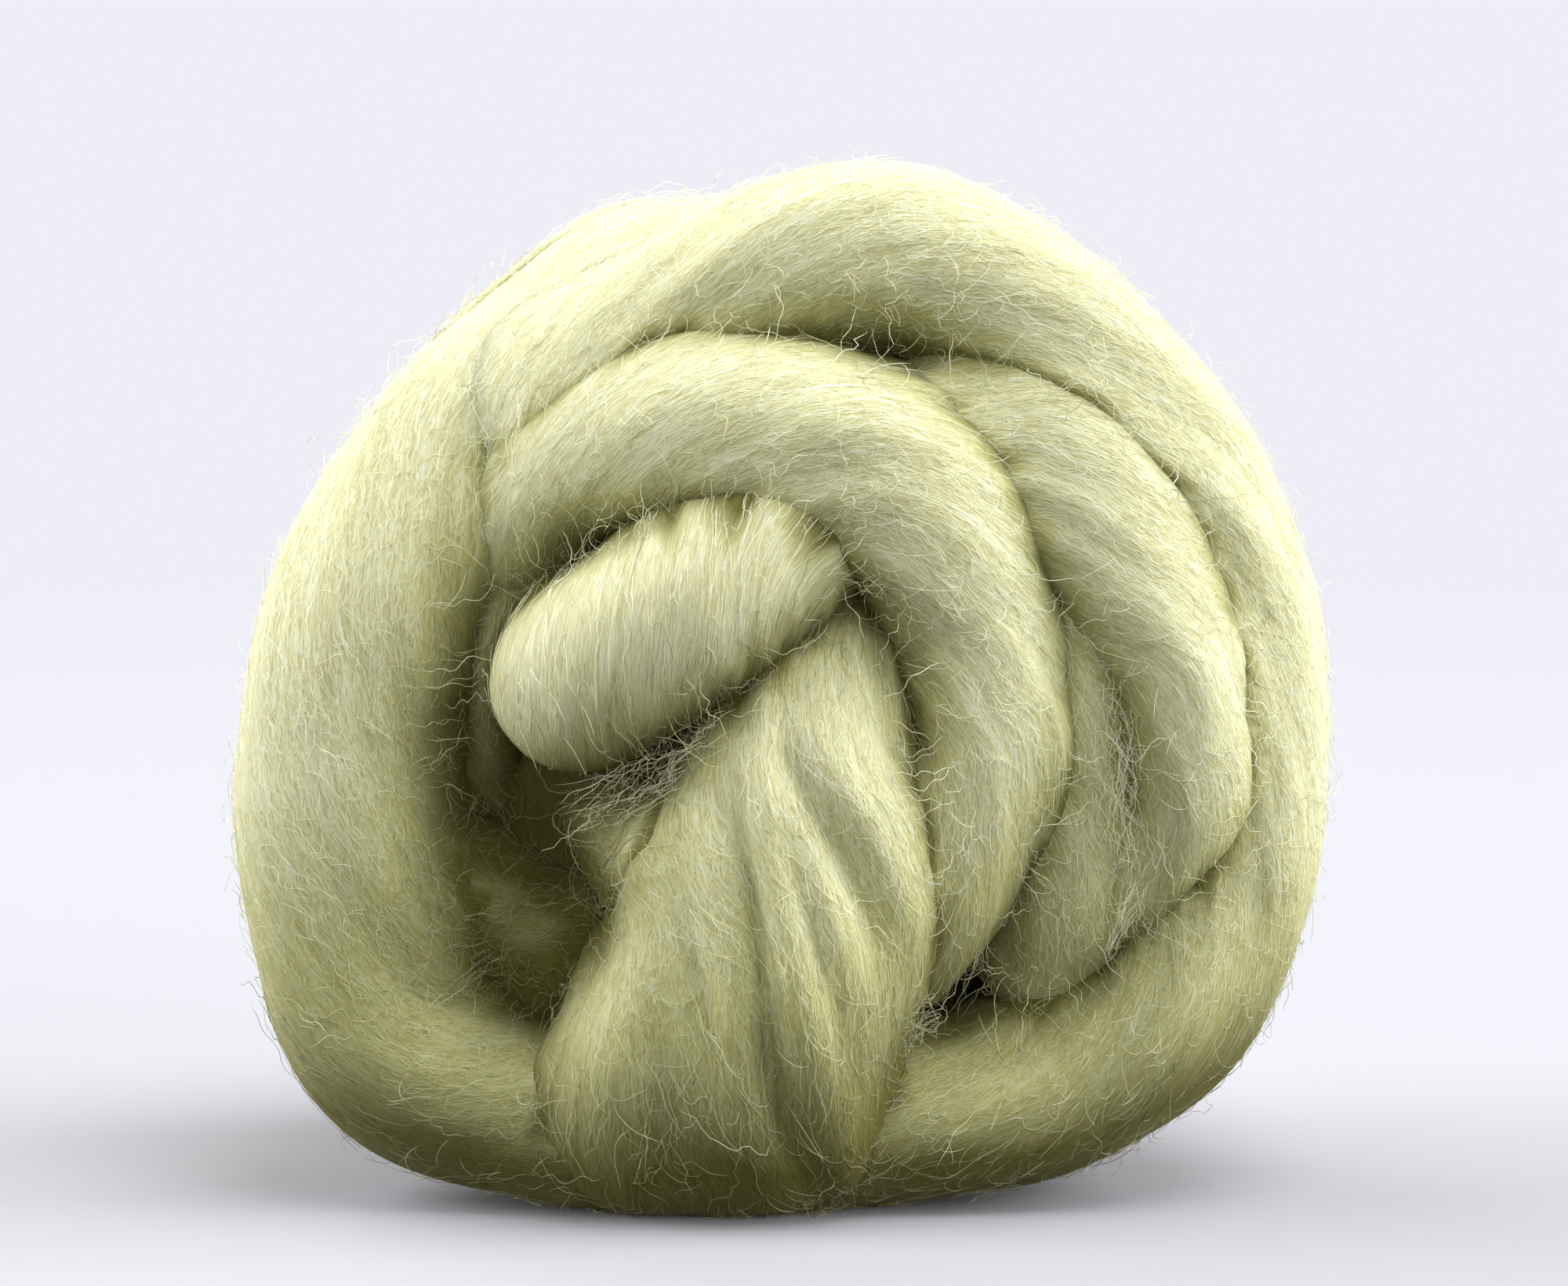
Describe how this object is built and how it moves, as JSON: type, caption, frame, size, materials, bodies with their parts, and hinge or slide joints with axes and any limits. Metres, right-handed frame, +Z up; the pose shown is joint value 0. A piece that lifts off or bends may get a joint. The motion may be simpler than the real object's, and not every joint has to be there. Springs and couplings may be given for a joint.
{
  "type": "wool roving",
  "caption": "Length of undyed combed wool roving wound into a soft, thick ball that stands on its edge, with the strand folded and twisted over itself on the open face.",
  "frame": {"origin": "middle of the ball's bounding box across X and Y, at the surface that the ball rests on", "axes": "+X across the open face, to the right of someone who looks at it; +Y from the open face to the coiled back; +Z up"},
  "size_m": [0.1377, 0.0833, 0.1282],
  "materials": {
    "wool": "matt combed wool fibre, pale natural cream"
  },
  "bodies": {
    "root": {"wound_roving": "wool"}
  },
  "joints": []
}
